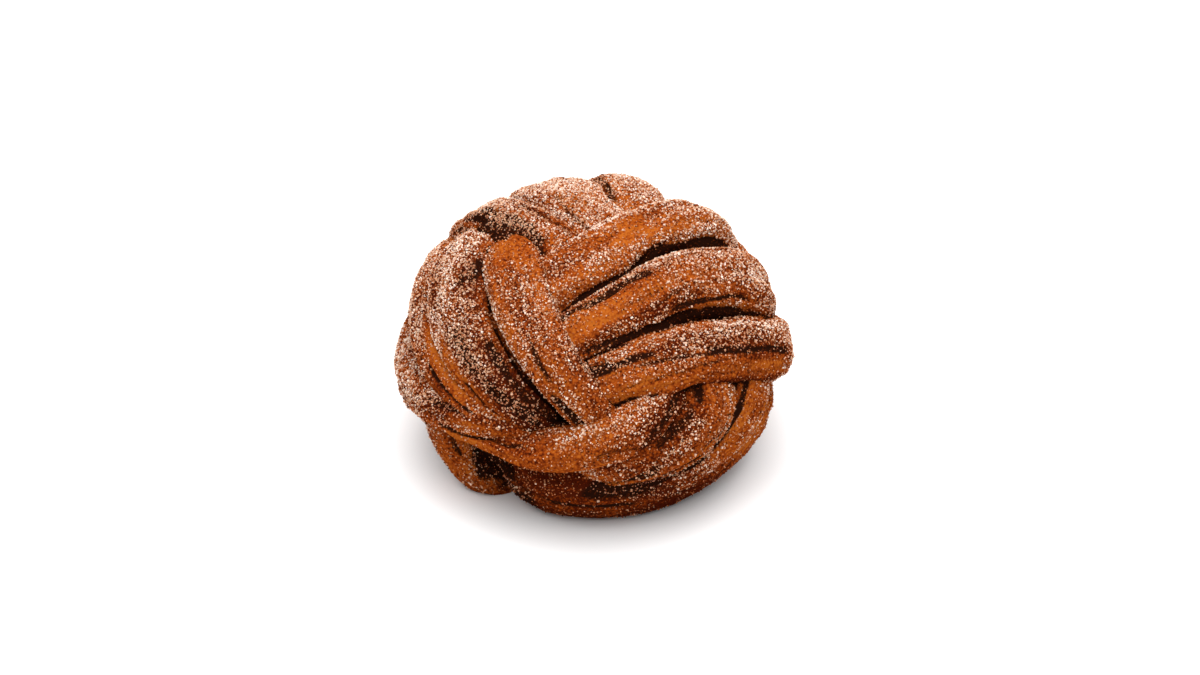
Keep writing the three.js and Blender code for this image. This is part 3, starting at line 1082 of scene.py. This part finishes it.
def crust_material():
    """Golden to red-brown crust, with dark cinnamon in its streaks, painted shade in its gaps and dusty
    sugar on top.
    """
    material = bpy.data.materials.new("layered_crust")
    material.use_nodes = True
    tree = material.node_tree
    shader = tree.nodes["Principled BSDF"]
    streaks, blotches, grit, specks = crust_patterns(tree)
    colour = crust_colour(tree, streaks, blotches, grit, specks)
    tree.links.new(colour, shader.inputs["Base Color"])
    tree.links.new(weighed(tree, [(grit, 0.35)], less=-0.38), shader.inputs["Roughness"])
    shader.inputs["Specular IOR Level"].default_value = 0.0
    bump = node(tree, "ShaderNodeBump", Strength=0.9, Distance=0.4 * MM)
    height = weighed(tree, [(streaks, 0.8), (grit, 0.6)], clamp=False)
    tree.links.new(height, bump.inputs["Height"])
    tree.links.new(bump.outputs["Normal"], shader.inputs["Normal"])
    return material


def grain_material(name, stops, roughness, shine, glow):
    """Sugar or crumbs that take their tint, grain by grain, from a ramp of colours."""
    material = bpy.data.materials.new(name)
    material.use_nodes = True
    tree = material.node_tree
    shader = tree.nodes["Principled BSDF"]
    tree.links.new(ramp(tree, attribute(tree, "tint"), stops), shader.inputs["Base Color"])
    shader.inputs["Roughness"].default_value = roughness
    shader.inputs["Specular IOR Level"].default_value = shine
    shader.inputs["Subsurface Weight"].default_value = glow
    shader.inputs["Subsurface Radius"].default_value = (1.0, 0.6, 0.45)
    shader.inputs["Subsurface Scale"].default_value = 0.5 * MM
    return material


class Crust:
    """The surface of all the strips together, where grains can be dropped on it."""

    def __init__(self, pieces):
        corners, normals, marks = [], [], []
        for mesh in (piece.data for piece in pieces):
            faces = triangles_of(mesh)
            corners.append(numbers_of(mesh.vertices, "co", 3)[faces])
            normals.append(numbers_of(mesh.vertex_normals, "vector", 3)[faces])
            marks.append(marks_of(mesh)[faces])
        self.corners, self.normals = np.concatenate(corners), np.concatenate(normals)
        self.marks = np.concatenate(marks)
        self.tree = BVHTree.FromPolygons(
            self.corners.reshape(-1, 3).tolist(),
            np.arange(self.corners.size // 3).reshape(-1, 3).tolist(),
        )
        sides = self.corners[:, 1] - self.corners[:, 0], self.corners[:, 2] - self.corners[:, 0]
        self.area = np.linalg.norm(np.cross(*sides), axis=1) / 2

    def drop(self, count, taste, rng):
        """Places, normals and marks of grains that fall on the crust where taste says."""
        weight = self.area * taste(
            self.corners.mean(axis=1), unit(self.normals.mean(axis=1)), self.marks.mean(axis=1)
        )
        drawn = int(count * 1.7)  # more than are wanted, because some fall in closed places
        chosen = rng.choice(len(weight), size=drawn, p=weight / weight.sum())
        shares = rng.dirichlet((1, 1, 1), len(chosen))[:, :, None]
        points = (self.corners[chosen] * shares).sum(axis=1)
        normals = unit((self.normals[chosen] * shares).sum(axis=1))
        marks = (self.marks[chosen] * shares).sum(axis=1)
        free = self.is_open(points, normals) & (points[:, 2] > LOWEST_GRAIN)
        keep = np.flatnonzero(free)[:count]
        return points[keep], normals[keep], marks[keep]

    def is_open(self, points, normals):
        """Whether a grain can come to each place from outside."""
        starts = points + normals * 0.3 * MM
        ways = unit(outline_normal(points - SHIFT) + normals)
        reach = 30 * MM
        closed = [blocked(self.tree, start, way, reach) for start, way in zip(starts, ways)]
        return ~np.array(closed)


# The two shapes of grain: their corners, for a grain about 1 across, and their faces.
CUBE = (
    np.array([(x, y, z) for x in (-1, 1) for y in (-1, 1) for z in (-1, 1)]) / 2,
    np.array([(0, 1, 3, 2), (4, 6, 7, 5), (0, 4, 5, 1), (2, 3, 7, 6), (0, 2, 6, 4), (1, 5, 7, 3)]),
)
CHIP = (
    np.array([(1, 0, 0), (-1, 0, 0), (0, 1, 0), (0, -1, 0), (0, 0, 1), (0, 0, -1)]) * 0.62,
    np.array([(0, 2, 4), (2, 1, 4), (1, 3, 4), (3, 0, 4), (2, 0, 5), (1, 2, 5), (3, 1, 5), (0, 3, 5)]),
)


def random_turns(count, rng):
    """Turns with no favourite direction, as matrices."""
    w, x, y, z = unit(rng.normal(size=(count, 4))).T
    rows = [
        [1 - 2 * (y * y + z * z), 2 * (x * y - z * w), 2 * (x * z + y * w)],
        [2 * (x * y + z * w), 1 - 2 * (x * x + z * z), 2 * (y * z - x * w)],
        [2 * (x * z - y * w), 2 * (y * z + x * w), 1 - 2 * (x * x + y * y)],
    ]
    return np.moveaxis(np.array(rows), -1, 0)


def loose_grains(corners, size, rng):
    """The corners of grains of these sizes, each a little different and turned its own way."""
    count = len(size)
    grains = np.repeat(corners[None], count, axis=0)
    grains = grains + rng.uniform(-0.11, 0.11, grains.shape)
    grains = grains * rng.uniform(0.72, 1.2, (count, 1, 3))
    return grains @ random_turns(count, rng) * size[:, None, None]


def grain_mesh(name, grains, faces, shades):
    """One mesh of all the grains, with each grain's shade noted at its corners."""
    count, corners = grains.shape[:2]
    every_face = faces[None] + (np.arange(count) * corners)[:, None, None]
    mesh = bpy.data.meshes.new(name)
    mesh.from_pydata(grains.reshape(-1, 3).tolist(), [], every_face.reshape(-1, faces.shape[1]).tolist())
    tints = mesh.attributes.new("tint", "FLOAT", "POINT")
    tints.data.foreach_set("value", np.repeat(shades, corners).astype(np.float32))
    return mesh


def scatter(name, crust, count, sizes, shape, taste, tint, material, seed):
    """Drops grains of one kind on the crust and joins them into one mesh."""
    rng = np.random.default_rng(seed)
    points, normals, marks = crust.drop(count, taste, rng)
    smallest, largest = sizes
    likeliest = smallest * 0.6 + largest * 0.4
    size = rng.triangular(smallest, likeliest, largest, len(points)) * MM
    corners, faces = shape
    grains = loose_grains(corners, size, rng)
    proud = size * rng.uniform(-0.02, 0.3, len(points))
    grains = grains + (points + normals * proud[:, None])[:, None]
    shades = np.clip(tint(marks) + rng.normal(0, 0.2, len(points)), 0, 1)
    piece = bpy.data.objects.new(name, grain_mesh(name, grains, faces, shades))
    bpy.context.scene.collection.objects.link(piece)
    finish_piece(piece, material)


def openness(points, normals):
    """More grains stay on the upper sides of the strips than in the gaps between them."""
    upward = smooth(0.72 + 0.6 * normals[:, 2])
    shallow = smooth(1.9 - depth_below_outline(points - SHIFT) / (8 * MM))
    return (0.15 + 0.85 * upward) * (0.08 + 0.92 * shallow)


def sugar_taste(points, normals, marks):
    """White sugar lies where the strips are sugared."""
    return openness(points, normals) * np.clip(marks[:, SUGAR], 0, 1) ** 1.3


def browned_taste(points, normals, marks):
    """Browned and amber sugar lie nearly everywhere but on golden patches, in the filling and in the
    painted shade of the gaps.
    """
    spread = openness(points, normals) * (0.3 + 0.7 * marks[:, SUGAR])
    return spread * (1 - 0.8 * marks[:, GOLD]) * (1 - 0.9 * marks[:, CINNAMON_AND_SHADE])


def crumb_taste(points, normals, marks):
    """Crumbs lie mostly on the filling and in the painted shade of the gaps."""
    spread = 0.1 + marks[:, CINNAMON_AND_SHADE] + 0.2 * marks[:, SUGAR]
    return openness(points, normals) * spread * (1 - marks[:, GOLD]) ** 2


def burnt_and_shaded(marks):
    """How much grains are darkened where the dough is baked darkly, and in the painted shade of the low
    front.
    """
    return 0.6 * np.clip(marks[:, BAKE_AND_SHADE] - 0.68, 0, 1)


def sugar_tint(marks):
    """Whiter where much sugar lies, darker in the filling, in painted shade and where darkly baked."""
    return 0.41 + 0.4 * marks[:, SUGAR] - 0.36 * marks[:, CINNAMON_AND_SHADE] - burnt_and_shaded(marks)


def browned_tint(marks):
    """Lighter on golden patches, darker in the filling, in painted shade and where darkly baked."""
    return 0.55 + 0.3 * marks[:, GOLD] - 0.35 * marks[:, CINNAMON_AND_SHADE] - burnt_and_shaded(marks)


def crumb_tint(marks):
    """The same everywhere."""
    return np.full(len(marks), 0.5)


def sprinkle(crust):
    """Sugar crystals of three sizes, browned and amber sugar, and crumbs of cinnamon."""
    white = [(0.0, (0.28, 0.085, 0.03)), (0.45, (0.52, 0.27, 0.15)), (1.0, (0.84, 0.68, 0.58))]
    brown = [(0.0, (0.06, 0.009, 0.003)), (0.5, (0.24, 0.052, 0.009)), (1.0, (0.46, 0.16, 0.055))]
    amber = [(0.0, (0.26, 0.062, 0.011)), (0.5, (0.48, 0.165, 0.055)), (1.0, (0.66, 0.36, 0.21))]
    black = [(0.0, (0.015, 0.004, 0.002)), (1.0, (0.1, 0.018, 0.004))]
    sugar = grain_material("sugar_crystals", white, roughness=0.35, shine=0.3, glow=0.3)
    browned = grain_material("cinnamon_sugar", brown, roughness=0.6, shine=0.1, glow=0.2)
    caramel = grain_material("caramel_sugar", amber, roughness=0.5, shine=0.2, glow=0.2)
    # Near-black crumbs of cinnamon, made large to stand for the shadows between the grains too: partly
    # painted shade.
    crumbs = grain_material("cinnamon_crumbs", black, roughness=0.9, shine=0.0, glow=0.0)

    # Each kind: how many grains, their sizes in millimetres, shape, place, tint and material.
    kinds = {
        "coarse_sugar": (5000, (0.34, 0.5), CUBE, sugar_taste, sugar_tint, sugar),
        "medium_sugar": (12400, (0.38, 0.54), CHIP, sugar_taste, sugar_tint, sugar),
        "fine_sugar": (17600, (0.26, 0.4), CHIP, sugar_taste, sugar_tint, sugar),
        "browned_sugar": (24500, (0.26, 0.48), CHIP, browned_taste, browned_tint, browned),
        "cinnamon_crumbs": (16000, (0.3, 0.5), CHIP, crumb_taste, crumb_tint, crumbs),
        "amber_sugar": (19000, (0.26, 0.44), CHIP, browned_taste, browned_tint, caramel),
    }
    for seed, (name, kind) in enumerate(kinds.items(), start=FIRST_GRAIN_SEED):
        scatter(name, crust, *kind, seed)


def pale_floor():
    """The plain surface that the bun rests on."""
    bpy.ops.mesh.primitive_plane_add(size=4)
    floor = bpy.context.object
    floor.name = "floor"
    material = bpy.data.materials.new("pale_floor")
    material.use_nodes = True
    shader = material.node_tree.nodes["Principled BSDF"]
    shader.inputs["Base Color"].default_value = (0.87, 0.87, 0.87, 1)
    shader.inputs["Roughness"].default_value = 0.9
    shader.inputs["Specular IOR Level"].default_value = 0.0
    floor.data.materials.append(material)


def aim(thing, target):
    """Turns a lamp or camera towards a place."""
    thing.rotation_euler = (Vector(target) - thing.location).to_track_quat("-Z", "Y").to_euler()


def overhead_light():
    """A broad soft lamp above the bun."""
    data = bpy.data.lights.new("overhead_light", "AREA")
    data.size = 1.5
    data.energy = 26.5
    lamp = bpy.data.objects.new("overhead_light", data)
    lamp.location = (0.0, -0.1, 1.0)
    bpy.context.scene.collection.objects.link(lamp)
    aim(lamp, (0, 0, 0))


def bright_surroundings():
    """Even white light from all round."""
    world = bpy.data.worlds.new("studio")
    world.use_nodes = True
    world.node_tree.nodes["Background"].inputs["Color"].default_value = (1, 1, 1, 1)
    world.node_tree.nodes["Background"].inputs["Strength"].default_value = 0.5
    bpy.context.scene.world = world
    bpy.context.scene.view_settings.view_transform = "Standard"


def front_camera():
    """The camera at the front, looking down on the bun."""
    data = bpy.data.cameras.new("camera")
    data.lens = 85
    data.sensor_width = 36
    camera = bpy.data.objects.new("camera", data)
    target = Vector((1.5 * MM, 0, 31 * MM))
    elevation = math.radians(33)
    distance = 712 * MM
    camera.location = target + Vector((0, -math.cos(elevation), math.sin(elevation))) * distance
    aim(camera, target)
    bpy.context.scene.collection.objects.link(camera)
    bpy.context.scene.camera = camera


pale_floor()
overhead_light()
bright_surroundings()
front_camera()
crust_look = crust_material()
crust_pieces = [
    bake_sheaf(name, strips, 100 * number)
    for number, (name, strips) in enumerate(SHEAVES.items(), start=1)
]
for piece in crust_pieces:
    piece.data.shade_smooth()
    finish_piece(piece, crust_look)
sprinkle(Crust(crust_pieces))
